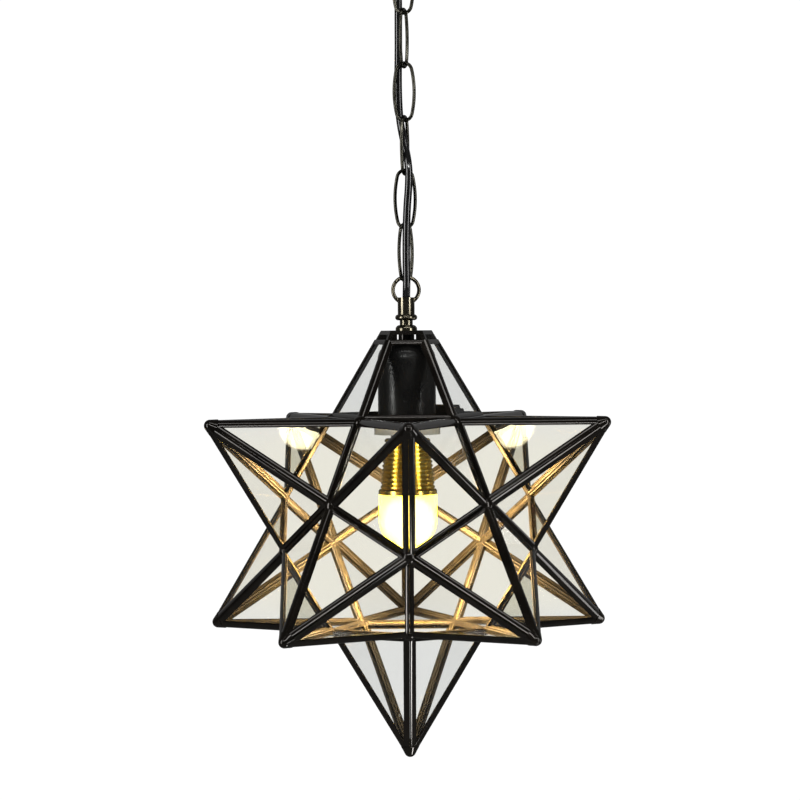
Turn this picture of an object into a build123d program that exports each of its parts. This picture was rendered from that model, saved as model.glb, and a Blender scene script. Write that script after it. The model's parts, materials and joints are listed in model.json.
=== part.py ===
from build123d import *
import math
import os

# Star lantern pendant: twelve five-sided glass points in metal strip, hung on a chain.
# Millimetres, +Z up. The origin is the middle of the ceiling bar's top face.
# The front of the lantern, with one upper point towards the viewer, is -Y.

# Star: every pane is the same 36 degree triangle
pane_base = 70.7
strip_width = 4.6
strip_inner_width = 2.8
strip_edge_half = 1.35
strip_crown = 0.6
glass_thickness = 2.0
groove_depth = 3.2
groove_play = 0.15
seam_gap = 0.16
door_seam_gap = 0.5

# Rounded caps on the tips
cap_nose_radius = 4.5
cap_half_angle = 28.0
cap_length = 8.0
cap_tip_inset = 0.2
cap_glass_gap = 0.2

# Cut-off top point and its crown plate
top_opening_height = 59.7
vent_gap = 3.8
crown_thickness = 3.0
crown_circumradius = 22.0
crown_leg_width = 5.0
crown_leg_length = 9.0

# Hub and ceiling loop: one turned fitting used at both ends of the chain
loop_washer_diameter = 16.2
loop_washer_height = 4.1
loop_washer_edge = 1.64
loop_washer_bulge = 0.56
loop_neck_land = 0.4
loop_neck_diameter = 9.8
loop_neck_height = 3.5
loop_bead_diameter = 16.6
loop_bead_height = 4.4
loop_barrel_diameter = 12.7
loop_barrel_height = 12.8
loop_mouth_radius = 5.6
ring_outer_diameter = 22.4
ring_wire = 2.9
ring_centre_above_barrel = 5.5

# Threaded tubes and nuts
nipple_diameter = 8.2
nipple_bore = 6.8
nipple_clearance = 0.2
nipple_in_loop = 6.6
nipple_past_nut = 1.0
nut_across_flats = 14.0
nut_height = 4.0
spacer_diameter = 12.0

# Chain
link_count = 6
link_length = 45.6
link_width = 18.0
link_wire = 2.6
link_end_radius = 6.0
link_seam = 0.3
link_play = 0.3
link_yaws = (-12.0, 70.0, -14.0, 72.0, -12.0, 50.0)
ceiling_loop_yaw = 78.0

# Cord, from the terminal block down through the chain to the lampholder
cord_diameter = 5.8
cord_bend_share = 0.45

# Ceiling canopy
canopy_diameter = 125.0
canopy_height = 25.0
canopy_wall = 1.2
canopy_centre_flat = 15.0
bar_length = 104.0
bar_width = 18.0
bar_thickness = 2.0
bar_hole_spacing = 70.0
bar_hole_diameter = 5.0
canopy_screw_edge = 6.0
canopy_screw_diameter = 4.0
canopy_screw_head = 7.6
canopy_screw_head_height = 2.6
canopy_screw_clearance = 0.2
terminal_length = 22.0
terminal_width = 14.0
terminal_height = 10.0

# Lampholder
cup_diameter = 43.5
cup_side_room = 4.65
cup_wall = 0.9
cup_straight_height = 47.0
cup_dome_share = 0.7
cup_crown_radius = 9.0
holder_clearance = 0.35
holder_height = 43.0
holder_recess = 2.0
holder_bore_diameter = 29.0
holder_bore_depth = 37.0
shell_wall = 0.6
shell_length = 33.0
rim_diameter = 49.5
rim_height = 7.0
rim_bore_diameter = 34.0
contact_diameter = 8.0

# Bulb
bulb_cap_diameter = 26.2
bulb_cap_length = 27.0
bulb_thread_pitch = 3.6
bulb_thread_depth = 0.6
bulb_thread_turns = 5
bulb_shoulder_height = 2.0
bulb_shoulder_width = 2.0
bulb_tip_diameter = 9.0
bulb_tip_height = 2.0
bulb_tip_gap = 0.3
sink_gap_below_rim = 3.0
sink_top_diameter = 34.0
sink_bottom_diameter = 41.2
sink_length = 38.0
sink_ribs = 12
sink_rib_depth = 1.2
collar_diameter = 44.0
collar_height = 4.0
collar_chamfer = 1.0
diffuser_length = 41.0
diffuser_wall = 1.4
diffuser_step = 0.2
led_board_diameter = 34.0
led_board_thickness = 1.6

# Door hinge on the top edge of one rear upper point
upper_points = ("fixed", "fixed", "door", "fixed", "fixed")
knuckle_radius = 2.3
knuckle_clearance = 0.3
hinge_pin_diameter = 1.8
hinge_pin_play = 0.06
leaf_thickness = 1.0
leaf_reach = 7.0
leaf_seat = 0.12
hinge_length = 30.0
hinge_slit = 0.4

fifth_turn = 360 / 5
golden = (1 + math.sqrt(5)) / 2
tip_tilt = math.degrees(math.atan(2))
pane_height = pane_base * golden * math.cos(math.radians(18))
face_inradius = pane_base / (2 * math.tan(math.radians(36)))
face_circumradius = pane_base / (2 * math.sin(math.radians(36)))
face_distance = pane_base * math.sqrt(10 + 22 / math.sqrt(5)) / 4
point_height = math.sqrt(pane_height**2 - face_inradius**2)
tip_distance = face_distance + point_height
mitre_slope = golden - 1
strip_crown_half = strip_edge_half + strip_crown
cord_radius = cord_diameter / 2
screw_x = bar_length / 2 - canopy_screw_edge
door_point = upper_points.index("door")

# Heights above the star's centre, stacked from the star up to the ceiling
opening_z = face_distance + top_opening_height
crown_z = opening_z + vent_gap
hub_base_z = crown_z + crown_thickness
loop_body_height = loop_washer_height + loop_neck_height + loop_bead_height + loop_barrel_height
hub_top_z = hub_base_z + loop_body_height
ring_radius = (ring_outer_diameter - ring_wire) / 2
ring_top_z = hub_top_z + ring_centre_above_barrel + ring_radius
link_inside = link_length - link_wire
link_pitch = link_inside - link_wire - link_play
bottom_link_z = ring_top_z - (ring_wire + link_wire) / 2 - link_play + link_inside / 2
top_link_z = bottom_link_z + (link_count - 1) * link_pitch
loop_ring_z = top_link_z + link_inside / 2 - (ring_wire + link_wire) / 2 - link_play + ring_radius
canopy_bottom_z = loop_ring_z + ring_centre_above_barrel + loop_body_height
ceiling_z = canopy_bottom_z + canopy_height

# Heights inside the lantern, above the star's centre: the cup sits as high as the top point's taper lets it
cup_radius = cup_diameter / 2
cup_shoulder_z = tip_distance - (cup_radius + cup_side_room) * point_height / face_inradius
cup_dome_height = cup_dome_share * (crown_z - cup_shoulder_z)
cup_top_z = cup_shoulder_z + cup_dome_height
cup_bottom_z = cup_shoulder_z - cup_straight_height
holder_bottom_z = cup_bottom_z - holder_recess
holder_top_z = holder_bottom_z + holder_height
rim_bottom_z = holder_bottom_z - rim_height
sink_top_z = rim_bottom_z - sink_gap_below_rim
sink_bottom_z = sink_top_z - sink_length
collar_bottom_z = sink_bottom_z - collar_height
bulb_cap_top_z = sink_top_z + bulb_cap_length
bulb_tip_z = bulb_cap_top_z + bulb_tip_height
nut_below_cup_z = cup_top_z - cup_wall - nut_height

parts = {}


def turned(*outline):
    """A solid of revolution about Z from (radius, height) points, closed at the end."""
    face = make_face(Polyline(*[(r, 0, z) for r, z in outline], close=True).edges())
    return revolve(face, Axis.Z, 360)


def tube(outer, bore, z_low, z_high):
    return turned((bore, z_low), (outer, z_low), (outer, z_high), (bore, z_high))


def disc(radius, z_low, z_high):
    return Pos(0, 0, (z_low + z_high) / 2) * Cylinder(radius, z_high - z_low)


def turned_face(*outline):
    """A solid of revolution about Z from lines and arcs that close on themselves."""
    edges = [edge for piece in outline for edge in piece.edges()]
    return revolve(make_face(edges), Axis.Z, 360)


def at_star(shape):
    """Move a shape drawn about the star's centre to its place below the ceiling."""
    return Pos(0, 0, -ceiling_z) * shape


# Panes

def strip_profile(slope):
    """Section of the strip: u runs into the pane from its edge, w runs outwards. Its inner lip is narrower."""
    half, crown, groove = strip_edge_half, strip_crown_half, glass_thickness / 2 + groove_play
    floor = strip_width - groove_depth
    inner_edge = (-slope * half, -half)
    outer_edge = (slope * half, half)
    inner_middle = (strip_inner_width - slope * half) / 2
    inner_face = ThreePointArc(inner_edge, (inner_middle, -crown), (strip_inner_width, -half))
    outer_face = ThreePointArc((strip_width, half), (strip_width / 2, crown), outer_edge)
    groove_walls = Polyline(
        (strip_inner_width, -half),
        (strip_inner_width, -groove),
        (floor, -groove),
        (floor, groove),
        (strip_width, groove),
        (strip_width, half),
    )
    seam_face = Line(outer_edge, inner_edge)
    return make_face([*inner_face.edges(), *groove_walls.edges(), *outer_face.edges(), *seam_face.edges()])


def keep_side(shape, point, inward):
    """The part of a shape on the side of a plane that inward points to."""
    return split(shape, Plane(origin=point, z_dir=inward), keep=Keep.TOP)


def strip_along(start, end, inward, slope, gap):
    """One straight strip in the pane's plane, long enough to be mitred at both ends."""
    start, end, inward = Vector(start), Vector(end), Vector(inward).normalized()
    along = (end - start).normalized()
    reach = strip_width * 4
    section = Plane(origin=start - along * reach + inward * gap / 2, x_dir=inward, z_dir=along * -1)
    if section.y_dir.Z < 0:
        section = Plane(origin=section.origin, x_dir=inward, z_dir=along)
    length = (end - start).length + 2 * reach
    sign = 1 if section.z_dir.dot(along) > 0 else -1
    return extrude(section * strip_profile(slope), sign * length)


def in_plane_normal(direction):
    return Vector(-direction.Y, direction.X, 0)


def pane_frame(corners, slopes, gaps):
    """A pane's strip frame: corners run anticlockwise seen from outside, edge 0 is the base."""
    count = len(corners)
    points = [Vector(x, y, 0) for x, y in corners]
    ways = [(points[(i + 1) % count] - points[i]).normalized() for i in range(count)]
    frame = None
    for i in range(count):
        start, end = points[i], points[(i + 1) % count]
        strip = strip_along(start, end, in_plane_normal(ways[i]), slopes[i], gaps[i])
        before, after = ways[i - 1], ways[(i + 1) % count]
        strip = keep_side(strip, start, before + ways[i])
        strip = keep_side(strip, end, (ways[i] + after) * -1)
        frame = strip if frame is None else frame + strip
    for point, way, slope, gap in zip(points, ways, slopes, gaps):
        inward = in_plane_normal(way)
        frame = keep_side(frame, point + inward * gap / 2, inward - Vector(0, 0, slope))
    return frame


def pane_glass(corners, gaps):
    """The pane's glass, set into the grooves of its frame."""
    inset = strip_width - groove_depth + groove_play
    count = len(corners)
    outline = [Vector(x, y, 0) for x, y in corners]
    glass = extrude(make_face(Polyline(*outline, close=True).edges()), glass_thickness / 2, both=True)
    for i in range(count):
        way = (outline[(i + 1) % count] - outline[i]).normalized()
        inward = in_plane_normal(way)
        glass = keep_side(glass, outline[i] + inward * (inset + gaps[i] / 2), inward)
    return glass


def pane_plane(turn):
    """Frame of a pane on an upright point: X along its base, Y up to the tip, Z outwards."""
    base_middle = Vector(face_inradius, 0, face_distance)
    outward = Vector(point_height, 0, face_inradius).normalized()
    return Plane(Rot(0, 0, turn) * Location(Plane(base_middle, (0, 1, 0), outward)))


def upright_point(base_gaps):
    """Frames and glass of a five-sided point, axis +Z, with its tip left to the cap."""
    half = pane_base / 2
    corners = [(-half, 0), (half, 0), (0, pane_height)]
    slopes = (mitre_slope, -mitre_slope, -mitre_slope)
    cut_z = tip_distance - cap_length
    frames, glasses = [], []
    for k in range(5):
        gaps = (base_gaps[k], seam_gap, seam_gap)
        place = Location(pane_plane(fifth_turn * k))
        frame = place * pane_frame(corners, slopes, gaps)
        glass = place * pane_glass(corners, gaps)
        frames.append(keep_side(frame, (0, 0, cut_z), (0, 0, -1)))
        glasses.append(keep_side(glass, (0, 0, cut_z - cap_glass_gap), (0, 0, -1)))
    return frames, glasses


def open_point(base_gaps):
    """The top point, cut off level for the crown, each pane closed by a fourth strip."""
    level = pane_height * top_opening_height / point_height
    half = pane_base / 2
    top_half = half * (1 - level / pane_height)
    corners = [(-half, 0), (half, 0), (top_half, level), (-top_half, level)]
    slopes = (mitre_slope, -mitre_slope, 0, -mitre_slope)
    frames, glasses = [], []
    for k in range(5):
        gaps = (base_gaps[k], seam_gap, 0, seam_gap)
        place = Location(pane_plane(fifth_turn * k))
        frame = place * pane_frame(corners, slopes, gaps)
        frames.append(keep_side(frame, (0, 0, opening_z), (0, 0, -1)))
        glasses.append(place * pane_glass(corners, gaps))
    return frames, glasses


def tip_cap():
    """Solid rounded cap that closes a point's tip."""
    flare = math.radians(cap_half_angle)
    base_z = tip_distance - cap_length
    nose_z = tip_distance - cap_tip_inset - cap_nose_radius
    joint_r = cap_nose_radius * math.cos(flare)
    joint_z = nose_z + cap_nose_radius * math.sin(flare)
    base_r = joint_r + (joint_z - base_z) * math.tan(flare)
    middle = math.radians((90 + cap_half_angle) / 2)
    nose_middle = (cap_nose_radius * math.cos(middle), 0, nose_z + cap_nose_radius * math.sin(middle))
    outline = [
        Line((0, 0, base_z), (base_r, 0, base_z)),
        Line((base_r, 0, base_z), (joint_r, 0, joint_z)),
        ThreePointArc((joint_r, 0, joint_z), nose_middle, (0, 0, nose_z + cap_nose_radius)),
        Line((0, 0, nose_z + cap_nose_radius), (0, 0, base_z)),
    ]
    return turned_face(*outline)


def upper_place(k):
    return Rot(0, 0, -90 + fifth_turn * k) * Rot(0, tip_tilt, 0) * Rot(0, 0, 180)


turn_over = Rot(180, 0, 0)
top_place = Rot(0, 0, -90)


def placed(place, shapes):
    return [at_star(place * shape) for shape in shapes]


plain_gaps = [seam_gap] * 5
door_gaps = [door_seam_gap] * 5
plain_frames, plain_glass = upright_point(plain_gaps)
door_frames, door_glass = upright_point(door_gaps)
top_frames, top_glass = open_point(plain_gaps)
cap = tip_cap()

parts["top_point_frames"] = Compound(placed(top_place, top_frames))
parts["top_point_glass"] = Compound(placed(top_place, top_glass))
upper_glass, lower_glass, caps = [], [], []
for k in range(5):
    lower = turn_over * upper_place(k)
    parts[f"lower_point_{k + 1}_frames"] = Compound(placed(lower, plain_frames))
    lower_glass += placed(lower, plain_glass)
    caps += placed(lower, [cap])
    if k == door_point:
        parts["door_point_frames"] = Compound(placed(upper_place(k), door_frames))
        parts["door_point_glass"] = Compound(placed(upper_place(k), door_glass))
        parts["door_tip_cap"] = at_star(upper_place(k) * cap)
        continue
    parts[f"upper_point_{k + 1}_frames"] = Compound(placed(upper_place(k), plain_frames))
    upper_glass += placed(upper_place(k), plain_glass)
    caps += placed(upper_place(k), [cap])
bottom = turn_over * top_place
parts["bottom_point_frames"] = Compound(placed(bottom, plain_frames))
parts["bottom_point_glass"] = Compound(placed(bottom, plain_glass))
parts["upper_points_glass"] = Compound(upper_glass)
parts["lower_points_glass"] = Compound(lower_glass)
parts["tip_caps"] = Compound(caps + placed(bottom, [cap]))


# Door hinge: drawn for a hinge line along X, the top point on -Y and the door on +Y

def leaf(side):
    """A leaf plate on the outer face of a frame, from the knuckle out over the strip."""
    lean = math.radians(90 - math.degrees(math.atan(1 / mitre_slope)))
    along = Vector(0, side * math.cos(lean), math.sin(lean))
    outward = Vector(0, -side * math.sin(lean), math.cos(lean))
    face_start = along * strip_width / 2
    above_strip = strip_crown_half + leaf_seat + leaf_thickness / 2
    centre = face_start + outward * above_strip + along * leaf_reach / 2
    plate = Plane(origin=centre, x_dir=(1, 0, 0), z_dir=outward)
    return Location(plate) * Box(hinge_length, leaf_reach, leaf_thickness)


axis_rise = (strip_crown_half + knuckle_clearance + knuckle_radius) / math.sin(math.atan(1 / mitre_slope))
knuckle_length = hinge_length / 3
hinge_centre = Pos(0, 0, axis_rise) * Rot(0, 90, 0)
pin_bore = hinge_centre * Cylinder(hinge_pin_diameter / 2 + hinge_pin_play, hinge_length * 2)


def knuckle(middle):
    return Pos(middle, 0, axis_rise) * Rot(0, 90, 0) * Cylinder(knuckle_radius, knuckle_length - hinge_slit)


def knuckle_room(middle):
    room = Cylinder(knuckle_radius + knuckle_clearance, knuckle_length + hinge_slit)
    return Pos(middle, 0, axis_rise) * Rot(0, 90, 0) * room


outer_knuckles = [-knuckle_length, knuckle_length]
fixed_leaf = leaf(-1)
for middle in outer_knuckles:
    fixed_leaf = fixed_leaf + knuckle(middle)
fixed_leaf = fixed_leaf - knuckle_room(0) - pin_bore
door_leaf = leaf(1) + knuckle(0)
for middle in outer_knuckles:
    door_leaf = door_leaf - knuckle_room(middle)
door_leaf = door_leaf - pin_bore
hinge_pin = hinge_centre * Cylinder(hinge_pin_diameter / 2, hinge_length)

door_azimuth = -90 + fifth_turn * door_point
hinge_place = (
    Rot(0, 0, door_azimuth - 90)
    * Pos(0, face_inradius, face_distance)
    * Rot(-tip_tilt / 2, 0, 0)
)
parts["hinge_fixed_leaf"] = at_star(hinge_place * fixed_leaf)
parts["hinge_door_leaf"] = at_star(hinge_place * door_leaf)
parts["hinge_pin"] = at_star(hinge_place * hinge_pin)


# Crown plate over the vent gap, on five legs that stand on the top strips

def tapered_pentagon(z_low, z_high):
    """Five-sided frustum that carries the top point's taper on upwards."""
    def level(z):
        size = crown_circumradius + (crown_z - z) * face_circumradius / point_height
        return Pos(0, 0, z) * RegularPolygon(size, 5, rotation=-54)
    return loft([level(z_low), level(z_high)])


crown = tapered_pentagon(crown_z, hub_base_z)
leg_band = tapered_pentagon(opening_z, crown_z)
for k in range(5):
    leg_block = Box(crown_leg_length, crown_leg_width, vent_gap)
    leg_radius = crown_circumradius - crown_leg_length / 4
    leg_place = Rot(0, 0, -54 + fifth_turn * k) * Pos(leg_radius, 0, opening_z + vent_gap / 2)
    crown = crown + (leg_band & (leg_place * leg_block))
nipple_hole = nipple_diameter / 2 + nipple_clearance
crown = crown - disc(nipple_hole, opening_z, hub_base_z)
parts["crown_plate"] = at_star(crown)


# Loop fitting: washer, neck, bead and barrel in one turning, with a flared cord mouth

def loop_washer():
    """Domed washer, drawn from its straight edge over the bulge to the neck."""
    edge_r, top_r = loop_washer_diameter / 2, loop_neck_diameter / 2 + loop_neck_land
    run, rise = edge_r - top_r, loop_washer_height - loop_washer_edge
    lean = math.atan2(rise, run)
    bulge_r = (edge_r + top_r) / 2 + loop_washer_bulge * math.sin(lean)
    bulge_z = (loop_washer_edge + loop_washer_height) / 2 + loop_washer_bulge * math.cos(lean)
    return turned_face(
        Line((nipple_hole, 0, 0), (edge_r, 0, 0)),
        Line((edge_r, 0, 0), (edge_r, 0, loop_washer_edge)),
        ThreePointArc((edge_r, 0, loop_washer_edge), (bulge_r, 0, bulge_z), (top_r, 0, loop_washer_height)),
        Line((top_r, 0, loop_washer_height), (nipple_hole, 0, loop_washer_height)),
        Line((nipple_hole, 0, loop_washer_height), (nipple_hole, 0, 0)),
    )


def loop_barrel():
    """Neck, bead and barrel, standing on the washer, bored for the nipple and the cord."""
    neck_r, bead_r, barrel_r = loop_neck_diameter / 2, loop_bead_diameter / 2, loop_barrel_diameter / 2
    low = loop_washer_height
    bead_low = low + loop_neck_height
    bead_high = bead_low + loop_bead_height
    bead_middle = (bead_low + bead_high) / 2
    high = bead_high + loop_barrel_height
    bead_start = bead_r - loop_bead_height / 2
    edges = [
        Line((nipple_hole, 0, low), (neck_r, 0, low)),
        Line((neck_r, 0, low), (neck_r, 0, bead_low)),
        Line((neck_r, 0, bead_low), (bead_start, 0, bead_low)),
        ThreePointArc((bead_start, 0, bead_low), (bead_r, 0, bead_middle), (bead_start, 0, bead_high)),
        Line((bead_start, 0, bead_high), (barrel_r, 0, bead_high)),
        Line((barrel_r, 0, bead_high), (barrel_r, 0, high)),
        Line((barrel_r, 0, high), (loop_mouth_radius, 0, high)),
        Line((loop_mouth_radius, 0, high), (nipple_bore / 2, 0, bead_high)),
        Line((nipple_bore / 2, 0, bead_high), (nipple_bore / 2, 0, low + nipple_in_loop)),
        Line((nipple_bore / 2, 0, low + nipple_in_loop), (nipple_hole, 0, low + nipple_in_loop)),
        Line((nipple_hole, 0, low + nipple_in_loop), (nipple_hole, 0, low)),
    ]
    return turned_face(*edges)


def loop_ring():
    """Face-on wire ring whose ends stop at the barrel's sides."""
    ring = Rot(90, 0, 0) * Torus(ring_radius, ring_wire / 2)
    ring = Pos(0, 0, loop_body_height + ring_centre_above_barrel) * ring
    return ring - disc(loop_barrel_diameter / 2, 0, loop_body_height) - disc(
        loop_mouth_radius, loop_body_height, loop_body_height + ring_wire / 2
    )


hub_place = Pos(0, 0, hub_base_z)
ceiling_loop_place = Pos(0, 0, canopy_bottom_z) * Rot(0, 0, ceiling_loop_yaw) * turn_over
parts["hub_washer"] = at_star(hub_place * loop_washer())
parts["hub_barrel"] = at_star(hub_place * loop_barrel())
parts["hub_ring"] = at_star(hub_place * loop_ring())
parts["ceiling_loop_washer"] = at_star(ceiling_loop_place * loop_washer())
parts["ceiling_loop_barrel"] = at_star(ceiling_loop_place * loop_barrel())
parts["ceiling_loop_ring"] = at_star(ceiling_loop_place * loop_ring())


def hex_nut(z_low):
    hexagon = RegularPolygon(nut_across_flats / 2, 6, major_radius=False)
    blank = Pos(0, 0, z_low) * extrude(hexagon, nut_height)
    return blank - disc(nipple_hole, z_low - nut_height, z_low + 2 * nut_height)


nipple_reach = loop_washer_height + nipple_in_loop - nipple_clearance
parts["hub_nipple"] = at_star(
    tube(nipple_diameter / 2, nipple_bore / 2, nut_below_cup_z - nipple_past_nut, hub_base_z + nipple_reach)
)
parts["hub_nuts"] = Compound(
    [
        at_star(tube(spacer_diameter / 2, nipple_hole, cup_top_z, crown_z)),
        at_star(hex_nut(nut_below_cup_z)),
    ]
)


# Chain links: oval of four tangent arcs in round wire, butted at one side

def link_height(k):
    """Height of a link's middle, counted from the top of the chain."""
    return top_link_z - k * link_pitch


def link_shape():
    half_length, half_width, end_r = link_inside / 2, (link_width - link_wire) / 2, link_end_radius
    side_r = ((half_length - end_r) ** 2 + half_width**2 - end_r**2) / (2 * (half_width - end_r))
    end_centre = half_length - end_r
    side_centre = side_r - half_width
    end_sweep = 2 * math.degrees(math.atan2(side_centre, end_centre))
    section = Circle(link_wire / 2)
    link = None
    for turn in (0, 180):
        end_start = Pos(0, 0, end_centre) * Rot(0, -end_sweep / 2, 0)
        end_face = end_start * Pos(0, 0, end_r) * Rot(0, 90, 0) * section
        end_bow = revolve(end_face, Axis((0, 0, end_centre), (0, 1, 0)), end_sweep)
        side_sweep = 180 - end_sweep
        side_face = Pos(-side_centre, 0, 0) * Rot(0, side_sweep / 2, 0) * Pos(side_r, 0, 0) * section
        side_bow = revolve(side_face, Axis((-side_centre, 0, 0), (0, 1, 0)), -side_sweep)
        bows = Rot(0, turn, 0) * (end_bow + side_bow)
        link = bows if link is None else link + bows
    slit = Pos(half_width, 0, 0) * Box(link_wire * 2, link_wire * 2, link_seam)
    return link - slit


link = link_shape()
for k, yaw in enumerate(link_yaws):
    parts[f"chain_link_{k + 1}"] = at_star(Pos(0, 0, link_height(k)) * Rot(0, 0, yaw) * link)


# Ceiling canopy and bar

def canopy_arc_radius(flat, rim, height):
    """Radius of the dome's arc: level at the centre flat, through the rim."""
    return ((rim - flat) ** 2 + height**2) / (2 * height)


def canopy_height_at(radius, flat, rim, height):
    """Rise of the dome above its bottom at a distance from the centre."""
    arc = canopy_arc_radius(flat, rim, height)
    return arc - math.sqrt(arc**2 - max(radius - flat, 0) ** 2)


def canopy_solid(rim, bottom_z):
    """Filled dome between its bottom and the ceiling."""
    height = ceiling_z - bottom_z
    flat = canopy_centre_flat
    middle_r = (flat + rim) / 2
    middle_z = bottom_z + canopy_height_at(middle_r, flat, rim, height)
    edges = [
        Line((0, 0, bottom_z), (flat, 0, bottom_z)),
        ThreePointArc((flat, 0, bottom_z), (middle_r, 0, middle_z), (rim, 0, ceiling_z)),
        Line((rim, 0, ceiling_z), (0, 0, ceiling_z)),
        Line((0, 0, ceiling_z), (0, 0, bottom_z)),
    ]
    return turned_face(*edges)


def canopy():
    """Thin dome over the ceiling bar, bored for the nipple and its two screws."""
    rim = canopy_diameter / 2
    hollow = canopy_solid(rim - canopy_wall, canopy_bottom_z + canopy_wall)
    shell = canopy_solid(rim, canopy_bottom_z) - hollow
    shell = shell - disc(nipple_hole, canopy_bottom_z - canopy_wall, canopy_bottom_z + canopy_height / 2)
    for side in (-1, 1):
        shell = shell - Pos(side * screw_x, 0, ceiling_z - canopy_height / 2) * Cylinder(
            canopy_screw_diameter / 2 + canopy_screw_clearance, canopy_height
        )
    return shell


parts["canopy"] = at_star(canopy())
bar = Pos(0, 0, -bar_thickness / 2) * Box(bar_length, bar_width, bar_thickness)
for side in (-1, 1):
    bar = bar - Pos(side * bar_hole_spacing / 2, 0, 0) * Cylinder(bar_hole_diameter / 2, 3 * bar_thickness)
    bar = bar - Pos(side * screw_x, 0, 0) * Cylinder(
        canopy_screw_diameter / 2 + canopy_screw_clearance, 3 * bar_thickness
    )
parts["ceiling_bar"] = bar

screw_seat_z = canopy_height_at(
    screw_x - canopy_screw_head / 2, canopy_centre_flat, canopy_diameter / 2, canopy_height
) - canopy_height - canopy_screw_clearance / 2
screws = []
for side in (-1, 1):
    shank = Pos(0, 0, screw_seat_z / 2) * Cylinder(canopy_screw_diameter / 2, -screw_seat_z)
    head = Pos(0, 0, screw_seat_z - canopy_screw_head_height / 2) * Cylinder(
        canopy_screw_head / 2, canopy_screw_head_height
    )
    screws.append(Pos(side * screw_x, 0, 0) * (shank + head))
parts["canopy_screws"] = Compound(screws)

inside_canopy_z = canopy_bottom_z + canopy_wall
canopy_nipple_top = inside_canopy_z + nut_height + nipple_past_nut
parts["canopy_nipple"] = at_star(
    tube(nipple_diameter / 2, nipple_bore / 2, canopy_bottom_z - nipple_reach, canopy_nipple_top)
)
parts["canopy_nut"] = at_star(hex_nut(inside_canopy_z))
terminal_z = -bar_thickness - terminal_height / 2
parts["terminal_block"] = Pos(0, 0, terminal_z) * Box(terminal_length, terminal_width, terminal_height)


# Lampholder

cup_inner = cup_radius - cup_wall


def dome(radius, crown_radius, top_z, bottom_z, shoulder):
    """Solid cup outline: flat crown, round shoulder, straight side."""
    shoulder_z = top_z - shoulder
    middle_r = crown_radius + (radius - crown_radius) * math.sin(math.pi / 4)
    middle_z = shoulder_z + shoulder * math.cos(math.pi / 4)
    edges = [
        Line((0, 0, bottom_z), (radius, 0, bottom_z)),
        Line((radius, 0, bottom_z), (radius, 0, shoulder_z)),
        ThreePointArc((radius, 0, shoulder_z), (middle_r, 0, middle_z), (crown_radius, 0, top_z)),
        Line((crown_radius, 0, top_z), (0, 0, top_z)),
        Line((0, 0, top_z), (0, 0, bottom_z)),
    ]
    return turned_face(*edges)


cup = dome(cup_radius, cup_crown_radius, cup_top_z, cup_bottom_z, cup_dome_height)
cup_inside = dome(
    cup_inner, cup_crown_radius, cup_top_z - cup_wall, cup_bottom_z - cup_wall, cup_dome_height
)
parts["socket_cup"] = at_star(cup - cup_inside - disc(nipple_hole, cup_bottom_z, cup_top_z + cup_wall))

holder_radius = cup_inner - holder_clearance
holder_bore = holder_bore_diameter / 2
bore_top_z = holder_bottom_z + holder_bore_depth
holder = disc(holder_radius, holder_bottom_z, holder_top_z)
holder = holder - disc(holder_bore, holder_bottom_z - holder_recess, bore_top_z)
parts["lampholder_body"] = at_star(holder)
shell_outer = holder_bore
parts["screw_shell"] = at_star(
    tube(shell_outer, shell_outer - shell_wall, bore_top_z - shell_length, bore_top_z)
)
parts["centre_contact"] = at_star(disc(contact_diameter / 2, bulb_tip_z + bulb_tip_gap, bore_top_z))
parts["holder_rim"] = at_star(tube(rim_diameter / 2, rim_bore_diameter / 2, rim_bottom_z, holder_bottom_z))


# Bulb

def bulb_cap():
    """Screw cap with rounded thread rings and a centre tip."""
    crest, root = bulb_cap_diameter / 2, bulb_cap_diameter / 2 - bulb_thread_depth
    thread_top = bulb_cap_top_z - bulb_shoulder_height
    outline = [(0, sink_top_z), (root, sink_top_z)]
    thread_low = thread_top - bulb_thread_turns * bulb_thread_pitch
    for k in range(bulb_thread_turns):
        z = thread_low + k * bulb_thread_pitch
        outline += [(root, z), (crest, z + bulb_thread_pitch / 2)]
    tip_r = bulb_tip_diameter / 2
    outline += [(root, thread_top), (tip_r + bulb_shoulder_width, bulb_cap_top_z), (tip_r, bulb_cap_top_z)]
    outline += [(tip_r, bulb_tip_z), (0, bulb_tip_z)]
    return turned(*outline)


def heat_sink():
    """Tapered body with level ribs and a plain collar over the diffuser."""
    rib = sink_length / sink_ribs
    grow = (sink_bottom_diameter - sink_top_diameter) / 2 / sink_ribs
    outline = [(0, sink_top_z)]
    for k in range(sink_ribs):
        crest = sink_top_diameter / 2 + grow * (k + 0.5)
        z = sink_top_z - k * rib
        outline += [(crest - sink_rib_depth, z), (crest, z - rib / 3), (crest, z - 2 * rib / 3)]
    collar_r = collar_diameter / 2
    outline += [
        (sink_bottom_diameter / 2 - sink_rib_depth, sink_bottom_z),
        (collar_r - collar_chamfer, sink_bottom_z),
        (collar_r, sink_bottom_z - collar_chamfer),
        (collar_r, collar_bottom_z),
        (0, collar_bottom_z),
    ]
    return turned(*outline)


diffuser_radius = collar_diameter / 2 - diffuser_step
diffuser_bottom_z = collar_bottom_z - diffuser_length


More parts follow.
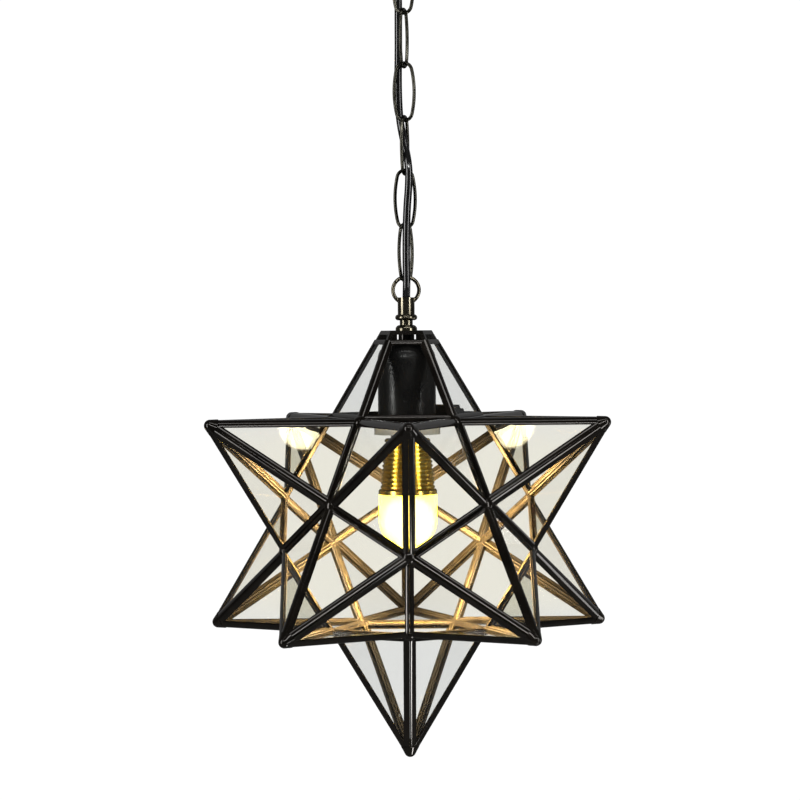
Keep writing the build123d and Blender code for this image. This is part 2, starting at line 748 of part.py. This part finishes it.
def diffuser():
    """Frosted cup under the collar, with a half-round end."""
    r_out, r_in = diffuser_radius, diffuser_radius - diffuser_wall
    edge_z = diffuser_bottom_z + r_out
    share = math.sin(math.pi / 4)
    edges = [
        Line((r_in, 0, collar_bottom_z), (r_out, 0, collar_bottom_z)),
        Line((r_out, 0, collar_bottom_z), (r_out, 0, edge_z)),
        ThreePointArc((r_out, 0, edge_z), (r_out * share, 0, edge_z - r_out * share), (0, 0, edge_z - r_out)),
        Line((0, 0, edge_z - r_out), (0, 0, edge_z - r_in)),
        ThreePointArc((0, 0, edge_z - r_in), (r_in * share, 0, edge_z - r_in * share), (r_in, 0, edge_z)),
        Line((r_in, 0, edge_z), (r_in, 0, collar_bottom_z)),
    ]
    return turned_face(*edges)


parts["bulb_cap"] = at_star(bulb_cap())
parts["bulb_heat_sink"] = at_star(heat_sink())
parts["bulb_diffuser"] = at_star(diffuser())
parts["led_board"] = at_star(
    disc(led_board_diameter / 2, collar_bottom_z - led_board_thickness, collar_bottom_z)
)


# Cord, from the terminal block to the lampholder: route points above the star's centre, one list for each stretch

block_z = ceiling_z - bar_thickness - terminal_height
cord_runs = [
    [
        (0, 0, block_z),
        (0, 0, canopy_bottom_z - 10.2),
        (-0.6, 1.0, canopy_bottom_z - 22.0),
        (-2.6, 4.2, loop_ring_z - 0.9),
        (-3.9, 5.8, loop_ring_z - 8.9),
        (-4.1, 6.2, link_height(0) + 8.3),
    ],
    [(-3.7, 6.4, link_height(0) - 10.2), (-3.9, 6.7, link_height(1) + 9.9)],
    [(-4.0, 6.3, link_height(1) - 10.1), (-4.5, 6.6, link_height(2) + 10.0)],
    [(-4.2, 6.7, link_height(2) - 12.0), (-2.7, 5.4, link_height(3) + 13.1)],
    [(2.8, -5.5, link_height(3) - 12.9), (3.0, -5.9, link_height(4) + 12.2)],
    [(1.2, -6.1, link_height(4) - 7.8), (0.5, -6.5, link_height(5) + 10.3)],
    [
        (0.4, -6.3, link_height(5) - 9.7),
        (0.6, -6.6, hub_top_z + 14.5),
        (0.4, -5.0, hub_top_z + 6.5),
        (0.1, -1.2, hub_top_z - 2.7),
    ],
    [(0, 0, hub_top_z - 14.5), (0, 0, holder_top_z)],
]


def corner_radius(before, corner, after):
    """The arc that takes a share of the corner's shorter run."""
    run_in, run_out = corner - before, after - corner
    half_turn = math.radians(run_in.get_angle(run_out)) / 2
    return cord_bend_share * min(run_in.length, run_out.length) / math.tan(half_turn)


cord_line = [Vector(*point) for run in cord_runs for point in run]
first = 0
for k, run in enumerate(cord_runs):
    after = first + len(run)
    stretch = cord_line[first:after]
    if first > 0:
        stretch.insert(0, (cord_line[first - 1] + cord_line[first]) / 2)
    if after < len(cord_line):
        stretch.append((cord_line[after - 1] + cord_line[after]) / 2)
    corners = range(max(first, 1), min(after, len(cord_line) - 1))
    radii = [corner_radius(cord_line[i - 1], cord_line[i], cord_line[i + 1]) for i in corners]
    path = FilletPolyline(*stretch, radius=radii)
    section = Plane(origin=path @ 0, z_dir=path % 0) * Circle(cord_radius)
    cord = sweep(section, path=path)
    share = cord.volume / (math.pi * cord_radius**2 * path.length)
    print("cord", k + 1, f"length {path.length:.1f} bend {min(radii):.1f} volume share {share:.4f}")
    parts[f"cord_{k + 1}"] = at_star(cord)
    first = after

os.makedirs("parts", exist_ok=True)
for name, shape in parts.items():
    shape.label = name
    export_step(shape, f"parts/{name}.step")
print(len(parts), "nodes; ceiling above the star's centre", round(ceiling_z, 2))
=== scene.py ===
import json
import math

import bmesh
import bpy
from mathutils import Matrix, Vector


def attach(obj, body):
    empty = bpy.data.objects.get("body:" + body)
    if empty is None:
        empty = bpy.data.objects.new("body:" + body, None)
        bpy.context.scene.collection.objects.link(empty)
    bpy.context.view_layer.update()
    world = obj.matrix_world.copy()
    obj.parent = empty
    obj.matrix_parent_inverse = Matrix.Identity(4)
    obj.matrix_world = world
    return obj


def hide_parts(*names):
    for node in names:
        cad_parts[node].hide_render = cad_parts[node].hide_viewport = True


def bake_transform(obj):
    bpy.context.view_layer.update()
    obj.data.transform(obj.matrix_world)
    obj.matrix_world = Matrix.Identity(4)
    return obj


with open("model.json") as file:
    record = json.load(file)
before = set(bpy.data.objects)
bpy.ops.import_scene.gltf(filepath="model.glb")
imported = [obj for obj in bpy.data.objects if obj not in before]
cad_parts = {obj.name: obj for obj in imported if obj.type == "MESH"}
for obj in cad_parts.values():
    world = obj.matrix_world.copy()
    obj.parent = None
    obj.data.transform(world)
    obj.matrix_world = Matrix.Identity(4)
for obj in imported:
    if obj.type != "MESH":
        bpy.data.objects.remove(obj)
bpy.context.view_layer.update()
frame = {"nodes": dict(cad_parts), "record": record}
scene = bpy.context.scene
nodes = frame["nodes"]

# How far the star's centre hangs under the ceiling, in metres
STAR_Z = -0.4877256


def above_star(x, y, z):
    """A point given in millimetres from the star's centre, in the row frame."""
    return Vector((x / 1000, y / 1000, z / 1000 + STAR_Z))


def level(height):
    """A height in millimetres above the star's centre, in the row frame."""
    return above_star(0, 0, height).z


def placed(name, mesh):
    """A smooth piece with that mesh, put into the scene."""
    mesh.shade_smooth()
    piece = bpy.data.objects.new(name, mesh)
    scene.collection.objects.link(piece)
    return piece


# Camera

LENS = 157.61
SENSOR_WIDTH = 36
CAMERA_PLACE = (-14.86, -2628.79, 161.94)
CAMERA_DIP = 0.0262
CAMERA_ROLL = 0.0092
CAMERA_YAW = -0.0039

camera_data = bpy.data.cameras.new("camera")
camera_data.lens = LENS
camera_data.sensor_width = SENSOR_WIDTH
camera_data.dof.use_dof = False
camera = bpy.data.objects.new("camera", camera_data)
camera.location = above_star(*CAMERA_PLACE)
camera.rotation_euler = (math.pi / 2 - CAMERA_DIP, CAMERA_ROLL, CAMERA_YAW)
scene.collection.objects.link(camera)
scene.camera = camera


# Cord

CORD_RADIUS = 0.0029
CORD_SIDES = 20
BEND_REACH = 0.009
# How far along its first and last step a stretch has one more ring
END_RING_SHARE = 0.04

# One list of route points for each stretch, top to bottom, in millimetres. A stretch ends half way to the
# next list's first point.
CORD_RUNS = [
    [
        (0, 0, 475.73),
        (0, 0, 452.53),
        (-0.6, 1.0, 440.73),
        (-2.6, 4.2, 431.53),
        (-3.9, 5.8, 423.53),
        (-4.1, 6.2, 412.53),
    ],
    [(-3.7, 6.4, 394.03), (-3.9, 6.7, 374.03)],
    [(-4.0, 6.3, 354.03), (-4.5, 6.6, 334.03)],
    [(-4.2, 6.7, 312.03), (-2.7, 5.4, 297.03)],
    [(2.8, -5.5, 271.03), (3.0, -5.9, 256.03)],
    [(1.2, -6.1, 236.03), (0.5, -6.5, 214.03)],
    [(0.4, -6.3, 194.03), (0.6, -6.6, 184.53), (0.4, -5.0, 176.53), (0.1, -1.2, 167.33)],
    [(0, 0, 155.53), (0, 0, 117.23)],
]
CORD_BODIES = ["ceiling", "link_1", "link_2", "link_3", "link_4", "link_5", "link_6", "lantern"]


def cord_centreline():
    """Points along the whole cord, read from one spline that has the route points as its control points."""
    route = [above_star(*point) for run in CORD_RUNS for point in run]
    curve = bpy.data.curves.new("cord_route", "CURVE")
    curve.dimensions = "3D"
    curve.resolution_u = 12
    spline = curve.splines.new("NURBS")
    spline.points.add(len(route) - 1)
    for control, point in zip(spline.points, route):
        control.co = (*point, 1)
    spline.order_u = 3
    spline.use_endpoint_u = True
    route_object = bpy.data.objects.new("cord_route", curve)
    line = bpy.data.meshes.new_from_object(route_object)
    points = [vertex.co.copy() for vertex in line.vertices]
    bpy.data.objects.remove(route_object)
    bpy.data.curves.remove(curve)
    bpy.data.meshes.remove(line)
    return points


def split_cord(points):
    """The centreline cut into stretches, each starting at the point where the one above it ends."""
    stretches = []
    rest = points
    for run, following in zip(CORD_RUNS, CORD_RUNS[1:]):
        cut = (above_star(*run[-1]) + above_star(*following[0])) / 2
        nearest = min(range(len(rest)), key=lambda i: (rest[i] - cut).length)
        stretches.append(rest[:nearest] + [cut])
        rest = [cut] + rest[nearest + 1 :]
    stretches.append(rest)
    return stretches


def with_end_rings(points):
    """The points with one more close to each end, so that a tube's shine runs on to its ends."""
    near_first = points[0].lerp(points[1], END_RING_SHARE)
    near_last = points[-1].lerp(points[-2], END_RING_SHARE)
    return [points[0], near_first, *points[1:-1], near_last, points[-1]]


def tube(name, centreline, radius, sides):
    """A closed round tube along the centreline."""
    points = with_end_rings(centreline)
    mesh_points = []
    faces = []
    across = Vector((1, 0, 0))
    for i, point in enumerate(points):
        ahead = points[min(i + 1, len(points) - 1)] - points[max(i - 1, 0)]
        ahead.normalize()
        across = (across - ahead * across.dot(ahead)).normalized()
        beside = ahead.cross(across)
        for side in range(sides):
            angle = 2 * math.pi * side / sides
            mesh_points.append(point + radius * (math.cos(angle) * across + math.sin(angle) * beside))
    for ring in range(len(points) - 1):
        for side in range(sides):
            here = ring * sides + side
            beside_it = ring * sides + (side + 1) % sides
            faces.append((here, beside_it, beside_it + sides, here + sides))
    faces.append(tuple(reversed(range(sides))))
    faces.append(tuple(range((len(points) - 1) * sides, len(points) * sides)))
    mesh = bpy.data.meshes.new(name)
    mesh.from_pydata(mesh_points, [], faces)
    return placed(name, mesh)


def length_of(points):
    return sum((b - a).length for a, b in zip(points, points[1:]))


swing_heights = {
    joint["child"]: joint["pos_m"][2]
    for joint in frame["record"]["behaviour"]["joints"]
    if joint["name"].endswith("_swing")
}
cord_pieces = []
for k, points in enumerate(split_cord(cord_centreline())):
    stretch = tube(f"cord_stretch_{k + 1}", points, CORD_RADIUS, CORD_SIDES)
    if k + 1 < len(CORD_BODIES):
        bend_z = swing_heights[CORD_BODIES[k + 1]]
        CORD_BODIES[k + 1]
        bend_z + BEND_REACH
        bend_z - BEND_REACH
        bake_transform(stretch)
    else:
        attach(stretch, CORD_BODIES[k])
    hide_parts(f"cord_{k + 1}")
    length_of(points)
    cord_pieces.append(stretch)


# Finishes


class Socket:
    """A shader value. Python's operators on it add Math nodes to its finish."""

    def __init__(self, finish, output):
        self.finish = finish
        self.output = output

    def maths(self, operation, first, second):
        return self.finish.node("ShaderNodeMath", {"operation": operation}, {0: first, 1: second})

    def __add__(self, other):
        return self.maths("ADD", self, other)

    def __radd__(self, other):
        return self.maths("ADD", other, self)

    def __sub__(self, other):
        return self.maths("SUBTRACT", self, other)

    def __rsub__(self, other):
        return self.maths("SUBTRACT", other, self)

    def __mul__(self, other):
        return self.maths("MULTIPLY", self, other)

    def __rmul__(self, other):
        return self.maths("MULTIPLY", other, self)


def opaque(colour):
    """A colour with its alpha added. A socket stays as it is."""
    return (*colour, 1) if isinstance(colour, tuple) else colour


class Finish:
    """A material, or the world, and the nodes in it."""

    def __init__(self, name, owner=None):
        self.material = owner or bpy.data.materials.new(name)
        self.material.use_nodes = True
        self.tree = self.material.node_tree
        self.tree.nodes.clear()

    def node(self, kind, settings=None, sockets=None, output=0):
        made = self.tree.nodes.new(kind)
        for key, value in (settings or {}).items():
            setattr(made, key, value)
        for key, value in (sockets or {}).items():
            if isinstance(value, Socket):
                self.tree.links.new(value.output, made.inputs[key])
            else:
                made.inputs[key].default_value = value
        if len(made.outputs):
            return Socket(self, made.outputs[output])

    def place(self):
        """Where the shaded point is on the piece, in metres."""
        return self.node("ShaderNodeTexCoord", output="Object")

    def normal(self):
        """Which way the surface looks, on the piece."""
        return self.node("ShaderNodeTexCoord", output="Normal")

    def part_of(self, vector, axis):
        """A vector's X, Y or Z."""
        return self.node("ShaderNodeSeparateXYZ", sockets={0: vector}, output=axis)

    def height(self):
        return self.part_of(self.place(), "Z")

    def light_path(self, question):
        return self.node("ShaderNodeLightPath", output=question)

    def from_centre(self):
        """The way from the star's centre to the shaded point."""
        ends = {0: self.place(), 1: above_star(0, 0, 0)}
        return self.node("ShaderNodeVectorMath", {"operation": "SUBTRACT"}, ends)

    def outside(self):
        """1 on faces that look away from the star's centre, 0 on faces that look in."""
        vectors = {0: self.normal(), 1: self.from_centre()}
        along = self.node("ShaderNodeVectorMath", {"operation": "DOT_PRODUCT"}, vectors, output="Value")
        return self.span(along, -0.05, 0.02)

    def in_point(self, near, far):
        """0 up to near metres from the star's centre, 1 from far metres on."""
        way = {0: self.from_centre()}
        reach = self.node("ShaderNodeVectorMath", {"operation": "LENGTH"}, way, output="Value")
        return self.span(reach, near, far)

    def bulb_level(self, below, low, high, above):
        """1 from low to high, 0 under below and over above, in millimetres above the star's centre."""
        height = self.height()
        risen = self.span(height, level(below), level(low))
        return risen * (1 - self.span(height, level(high), level(above)))

    def mottle(self, size, detail=3.0):
        """Cloudy patches of about that size in metres, from 0 to 1."""
        noise = self.node(
            "ShaderNodeTexNoise",
            sockets={"Vector": self.place(), "Scale": 1 / size, "Detail": detail},
        )
        return self.span(noise, 0.28, 0.72)

    def span(self, value, low, high):
        """The value stretched so that low is 0 and high is 1."""
        return self.node(
            "ShaderNodeMapRange",
            {"interpolation_type": "SMOOTHSTEP"},
            {"Value": value, "From Min": low, "From Max": high},
        )

    def blend(self, factor, first, second):
        """The first colour where the factor is 0, the second where it is 1."""
        return self.node(
            "ShaderNodeMix",
            {"data_type": "RGBA"},
            {0: factor, 6: opaque(first), 7: opaque(second)},
            output=2,
        )

    def bumps(self, height, depth):
        return self.node("ShaderNodeBump", sockets={"Height": height, "Distance": depth, "Strength": 1.0})

    def mixed(self, factor, first, second):
        """The first shader where the factor is 0, the second where it is 1."""
        return self.node("ShaderNodeMixShader", sockets={0: factor, 1: first, 2: second})

    def see_through(self, tint=(1, 1, 1)):
        return self.node("ShaderNodeBsdfTransparent", sockets={"Color": opaque(tint)})

    def surface(self, sockets):
        return self.end(self.node("ShaderNodeBsdfPrincipled", sockets=sockets))

    def end(self, shader):
        self.node("ShaderNodeOutputMaterial", sockets={"Surface": shader})
        return self.material


# The strips' inner faces carry painted bulb light round the bulb: a pale bare-metal gold colour stands in
# for the bulb's warm light on them, while their metal shine of the glow lamp is real light. It is whole
# between the middle two of these heights in millimetres, and less and less from the first to the second of
# these distances in metres.
BULB_LIT_LEVELS = (-92, -82, 45, 80)
BULB_LIT_FADE = (0.09, 0.145)
BULB_LIT_FADE_SHARE = 0.85
PAINTED_BULB_LIGHT_TONES = ((0.17, 0.128, 0.08), (0.3, 0.232, 0.145))
BLACK_COAT = ((0.006, 0.005, 0.004), (0.013, 0.0105, 0.008))


def black_strip():
    finish = Finish("black_strip")
    worn = finish.mottle(0.02)
    outside = finish.outside()
    # Painted bulb light: inward faces near the bulb's height turn from the black coat to a pale gold colour.
    lit = finish.bulb_level(*BULB_LIT_LEVELS) * (1 - BULB_LIT_FADE_SHARE * finish.in_point(*BULB_LIT_FADE))
    black = 1 - lit * (1 - outside)
    painted_bulb_light_tone = finish.blend(worn, *PAINTED_BULB_LIGHT_TONES)
    black_tone = finish.blend(worn, *BLACK_COAT)
    return finish.surface(
        {
            "Base Color": finish.blend(black, painted_bulb_light_tone, black_tone),
            "Roughness": 0.24 + 0.5 * black - 0.67 * outside + 0.03 * worn,
            "Metallic": 0.85 - 0.25 * black,
            "Normal": finish.bumps(worn, 0.000001),
        }
    )


GLASS_IOR = 1.52
GLASS_GLOSS = 0.6
# The glass is tinted warmer round the bulb as painted bulb light, between the middle two of these heights in
# millimetres.
BULB_TINT_LEVELS = (-95, -50, 50, 95)
PAINTED_BULB_LIGHT_GLASS = (0.948, 0.943, 0.914)
COOL_GLASS = (0.925, 0.928, 0.922)


def clear_glass():
    finish = Finish("clear_glass")
    ripple = finish.bumps(finish.mottle(0.05, detail=1), 0.00004)
    entering = 1 - finish.node("ShaderNodeNewGeometry", output="Backfacing")
    gloss = GLASS_GLOSS * entering * finish.node("ShaderNodeFresnel", sockets={"IOR": GLASS_IOR})
    # Painted bulb light: the panes near the bulb's height let through a warmer tint.
    painted_bulb_light = finish.bulb_level(*BULB_TINT_LEVELS)
    through = finish.mixed(painted_bulb_light, finish.see_through(COOL_GLASS), finish.see_through(PAINTED_BULB_LIGHT_GLASS))
    mirror = finish.node("ShaderNodeBsdfGlossy", sockets={"Roughness": 0.0, "Normal": ripple})
    return finish.end(finish.mixed(gloss, through, mirror))


def aged_brass(name, dark, bright, patch):
    finish = Finish(name)
    worn = finish.mottle(patch)
    fine = finish.mottle(patch / 9, detail=4)
    return finish.surface(
        {
            "Base Color": finish.blend(worn * 0.8 + fine * 0.2, dark, bright),
            "Roughness": 0.24 - 0.08 * worn + 0.015 * fine,
            "Metallic": 1.0,
            "Normal": finish.bumps(fine, 0.000002),
        }
    )


def bright_metal(name, dark, bright, patch, roughness):
    finish = Finish(name)
    worn = finish.mottle(patch)
    return finish.surface(
        {
            "Base Color": finish.blend(worn, dark, bright),
            "Roughness": roughness + 0.08 * worn,
            "Metallic": 1.0,
        }
    )


def moulded(name, dark, bright, roughness, grain_depth=0.00003, gloss=0.5):
    finish = Finish(name)
    tone = finish.mottle(0.012)
    grain = finish.mottle(0.0009, detail=2)
    return finish.surface(
        {
            "Base Color": finish.blend(tone, dark, bright),
            "Roughness": roughness + 0.012 * tone,
            "Specular IOR Level": gloss,
            "Normal": finish.bumps(grain, grain_depth),
        }
    )


# The diffuser's yellow at its lit middle and at its collar, and the heights of both in millimetres
GLOW_LEVELS = (-6, 20)
GLOW_TONES = ((1.0, 0.75, 0.045), (1.0, 0.7, 0.03))
# Its painted reflection: the extra brightness it shows only in the panes that mirror it, at the dark and the
# bright end
PAINTED_REFLECTION_TONES = ((0.1, 0.07, 0.03), (9.0, 8.0, 5.2))
FROST_TINT = (0.012, 0.011, 0.008)


def lit_diffuser():
    finish = Finish("lit_diffuser")
    frost = finish.mottle(0.003)
    low, collar = GLOW_LEVELS
    glow = finish.blend(finish.span(finish.height(), level(low), level(collar)), *GLOW_TONES)
    inside = finish.span(finish.light_path("Transmission Depth"), 0.1, 0.9)
    in_glass = finish.light_path("Is Singular Ray")
    mirrored = in_glass * finish.light_path("Is Reflection Ray") * (1 - inside)
    # The rear panes that mirror the bulb see it from the side and from above.
    outward = finish.normal()
    sideways = finish.node("ShaderNodeMath", {"operation": "ABSOLUTE"}, {0: finish.part_of(outward, "X")})
    to_pane = 0.75 * sideways + 0.66 * finish.part_of(outward, "Z")
    # Painted reflection: in mirror rays the diffuser glows far brighter than straight on, most where it
    # faces those panes.
    painted_reflection = finish.blend(finish.span(to_pane, 0.3, 0.76), *PAINTED_REFLECTION_TONES)
    frosted = finish.node(
        "ShaderNodeBsdfPrincipled",
        sockets={
            "Base Color": opaque(FROST_TINT),
            "Roughness": 0.7 + 0.05 * frost,
            "Transmission Weight": 1.0,
            "IOR": 1.3,
            "Emission Color": finish.blend(mirrored, glow, painted_reflection),
            "Emission Strength": 8.0,
        },
    )
    # The wall frosts what is seen through it once, and the light of the lamp inside passes straight out.
    shadow_ray = finish.light_path("Is Shadow Ray")
    passing = shadow_ray + inside * (1 - shadow_ray)
    return finish.end(finish.mixed(passing, frosted, finish.see_through()))


def led_glow():
    finish = Finish("led_glow")
    dies = finish.mottle(0.004)
    return finish.surface(
        {
            "Base Color": (0.8, 0.7, 0.3, 1),
            "Emission Color": finish.blend(dies, (1.0, 0.9, 0.68), (1.0, 0.95, 0.8)),
            "Emission Strength": 14.0,
        }
    )


FINISHES = {
    "black_strip": black_strip(),
    "clear_glass": clear_glass(),
    "dark_brass": aged_brass("dark_brass", (0.03, 0.027, 0.02), (0.2, 0.18, 0.13), 0.011),
    "chain_brass": aged_brass("chain_brass", (0.009, 0.0088, 0.007), (0.065, 0.0625, 0.05), 0.012),
    "black_cord": moulded("black_cord", (0.003, 0.003, 0.003), (0.006, 0.006, 0.006), 0.1, 0.000003),
    "plated_steel": bright_metal("plated_steel", (0.5, 0.49, 0.46), (0.66, 0.65, 0.62), 0.006, 0.28),
    "black_cup": moulded("black_cup", (0.005, 0.005, 0.005), (0.009, 0.0085, 0.008), 0.26, 0.0000004, 0.22),
    "holder_plastic": moulded("holder_plastic", (0.6, 0.58, 0.54), (0.7, 0.68, 0.64), 0.4),
    "rim_plastic": moulded("rim_plastic", (0.38, 0.38, 0.33), (0.46, 0.46, 0.4), 0.35),
    "contact_brass": bright_metal("contact_brass", (0.62, 0.43, 0.16), (0.74, 0.54, 0.24), 0.004, 0.25),
    "nickel_cap": bright_metal("nickel_cap", (0.55, 0.53, 0.5), (0.7, 0.68, 0.65), 0.005, 0.22),
    "gold_sink": bright_metal("gold_sink", (0.56, 0.42, 0.08), (0.76, 0.6, 0.16), 0.02, 0.18),
    "lit_diffuser": lit_diffuser(),
    "led_glow": led_glow(),
    "led_board": moulded("led_board", (0.72, 0.72, 0.7), (0.8, 0.8, 0.78), 0.5),
}


def paint(piece, slot):
    piece.data.materials.clear()
    piece.data.materials.append(FINISHES[slot])


for subpart in frame["record"]["subparts"]:
    paint(nodes[subpart["node"]], subpart["material_slot"])
for piece in cord_pieces:
    paint(piece, "black_cord")
# The spacer and nut under the crown are blackened.
nodes["hub_nuts"].data.materials[0] = FINISHES["black_strip"]


def balls(name, radius, places):
    """One piece with a ball of that radius at each place, which is a matrix."""
    shape = bmesh.new()
    for place in places:
        bmesh.ops.create_icosphere(shape, subdivisions=3, radius=radius, matrix=place)
    mesh = bpy.data.meshes.new(name)
    shape.to_mesh(mesh)
    shape.free()
    return placed(name, mesh)


# Solder lumps where the strips of three points cross, on every crossing that the door doesn't carry away

LUMP_RADIUS = 0.0048
LUMP_FLATNESS = 0.6
CROSSING_REACH = 99.8
# On a regular star the crossings lie in rings of five, at these angles from the upright axis.
NEAR_AXIS = math.atan(3 - math.sqrt(5))
NEAR_LEVEL = math.atan(3 + math.sqrt(5))
# Each ring's angle and first azimuth, and the azimuths that belong to the door
CROSSING_RINGS = [
    (NEAR_AXIS, -54, (18, 90)),
    (NEAR_LEVEL, -54, (18, 90)),
    (math.pi - NEAR_LEVEL, -90, (54,)),
    (math.pi - NEAR_AXIS, -90, ()),
]


def lump_places():
    """The place of every lump, flattened towards the star's centre."""
    flatten = Matrix.Diagonal((1, 1, LUMP_FLATNESS, 1))
    for tilt, first, on_door in CROSSING_RINGS:
        for azimuth in range(first, first + 360, 72):
            if azimuth in on_door:
                continue
            turn = math.radians(azimuth)
            level_reach = CROSSING_REACH * math.sin(tilt)
            outward = Vector(
                (level_reach * math.cos(turn), level_reach * math.sin(turn), CROSSING_REACH * math.cos(tilt))
            )
            facing = outward.to_track_quat("Z", "Y").to_matrix().to_4x4()
            yield Matrix.Translation(above_star(*outward)) @ facing @ flatten


lumps = balls("solder_lumps", LUMP_RADIUS, lump_places())
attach(lumps, "lantern")
paint(lumps, "black_strip")


# Braze that fills the slit in the side of each chain link

BRAZE_RADIUS = 0.00122
SEAM_REACH = 7.7
TOP_LINK_HEIGHT = 404.23
LINK_PITCH = 40.1
LINK_YAWS = (-12, 70, -14, 72, -12, 50)
for k, yaw in enumerate(LINK_YAWS):
    turn = math.radians(yaw)
    seam_height = TOP_LINK_HEIGHT - k * LINK_PITCH
    seam = above_star(SEAM_REACH * math.cos(turn), SEAM_REACH * math.sin(turn), seam_height)
    braze = balls(f"link_braze_{k + 1}", BRAZE_RADIUS, [Matrix.Translation(seam)])
    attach(braze, f"link_{k + 1}")
    paint(braze, "chain_brass")


# Lit bulb

# Radius and height above the star's centre, top to bottom, in millimetres
LED_COLUMN = [(0, 18), (9, 17.5), (13.5, 13), (15, 2), (12.5, -5), (7, -9.5), (0, -11)]
LED_COLUMN_SIDES = 32


def turned_piece(name, outline, sides):
    """A closed round solid from the outline's radii and heights."""
    (_, top), (_, low) = outline[0], outline[-1]
    points = [above_star(0, 0, top)]
    for radius, height in outline[1:-1]:
        for side in range(sides):
            angle = 2 * math.pi * side / sides
            points.append(above_star(radius * math.cos(angle), radius * math.sin(angle), height))
    points.append(above_star(0, 0, low))
    last = len(points) - 1
    rings = len(outline) - 2
    faces = []
    for side in range(sides):
        after = (side + 1) % sides
        faces.append((0, 1 + side, 1 + after))
        for ring in range(rings - 1):
            upper, lower = 1 + ring * sides, 1 + (ring + 1) * sides
            faces.append((upper + side, lower + side, lower + after, upper + after))
        faces.append((last - sides + side, last, last - sides + after))
    mesh = bpy.data.meshes.new(name)
    mesh.from_pydata(points, [], faces)
    return placed(name, mesh)


led_column = turned_piece("led_column", LED_COLUMN, LED_COLUMN_SIDES)
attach(led_column, "bulb")
led_column.data.materials.append(FINISHES["led_glow"])
led_column.visible_shadow = False

# A warm lamp inside the diffuser
GLOW_POWER = 4.6
GLOW_COLOUR = (1.0, 0.76, 0.42)
GLOW_RADIUS = 0.014
GLOW_HEIGHT = -1

glow_data = bpy.data.lights.new("diffuser_glow", "POINT")
glow_data.energy = GLOW_POWER
glow_data.color = GLOW_COLOUR
glow_data.shadow_soft_size = GLOW_RADIUS
glow = bpy.data.objects.new("diffuser_glow", glow_data)
glow.location = above_star(0, 0, GLOW_HEIGHT)
glow.visible_camera = False
glow.visible_transmission = False
scene.collection.objects.link(glow)
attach(glow, "bulb")


# Studio

LAMP_TARGET = above_star(0, 0, 60)


def lamp(name, place, size, power):
    """An area lamp with its place in millimetres, its size in metres and its power in watts."""
    data = bpy.data.lights.new(name, "AREA")
    data.shape = "RECTANGLE"
    data.size, data.size_y = size
    data.energy = power
    light = bpy.data.objects.new(name, data)
    light.location = above_star(*place)
    light.rotation_euler = (LAMP_TARGET - light.location).to_track_quat("-Z", "Y").to_euler()
    light.visible_camera = False
    scene.collection.objects.link(light)


lamp("left_strip_light", (-1750, -1050, 250), (0.5, 2.0), 40)
lamp("right_strip_light", (1500, -1250, 200), (0.3, 2.0), 30)
lamp("right_edge_light", (1420, 212, -435), (0.15, 0.75), 3)
lamp("low_front_light", (420, -270, -840), (0.1, 0.2), 3)
lamp("front_strip_light", (0, -1936, 1034), (1.6, 0.12), 18)
lamp("overhead_strip_light", (200, -900, 1700), (2.0, 0.2), 10)

# The brightness of floor and wall where the camera sees them
PAPER_WHITE = 1.05
FLOOR_DROP = 1000
FLOOR_REACH = 7.0
FLOOR_GREY = (0.22, 0.22, 0.217)

floor_corners = [(x * FLOOR_REACH, y * FLOOR_REACH, 0) for x, y in ((-1, -1), (1, -1), (1, 1), (-1, 1))]
floor_mesh = bpy.data.meshes.new("floor")
floor_mesh.from_pydata(floor_corners, [], [(0, 1, 2, 3)])
floor = bpy.data.objects.new("floor", floor_mesh)
floor.location = above_star(0, 0, -FLOOR_DROP)
scene.collection.objects.link(floor)


def pale_floor():
    finish = Finish("pale_floor")
    matt = finish.node("ShaderNodeBsdfDiffuse", sockets={"Color": opaque(FLOOR_GREY)})
    white = finish.node("ShaderNodeEmission", sockets={"Strength": PAPER_WHITE})
    return finish.end(finish.mixed(finish.light_path("Is Camera Ray"), matt, white))


floor_mesh.materials.append(pale_floor())

# The light from a dim room in front of the lantern and from a paler wall behind it
ROOM_LIGHT = 0.05
WALL_LIGHT = 0.2


def studio_world():
    finish = Finish("studio", bpy.data.worlds.new("studio"))
    direction = finish.node("ShaderNodeTexCoord", output="Generated")
    behind = finish.span(finish.part_of(direction, "Y"), 0.3, 0.7)
    room = ROOM_LIGHT + (WALL_LIGHT - ROOM_LIGHT) * behind
    camera_ray = finish.light_path("Is Camera Ray")
    brightness = PAPER_WHITE * camera_ray + room * (1 - camera_ray)
    wall = finish.node("ShaderNodeBackground", sockets={"Color": (1, 1, 1, 1), "Strength": brightness})
    finish.node("ShaderNodeOutputWorld", sockets={"Surface": wall})
    return finish.material


scene.world = studio_world()
scene.view_settings.view_transform = "Standard"
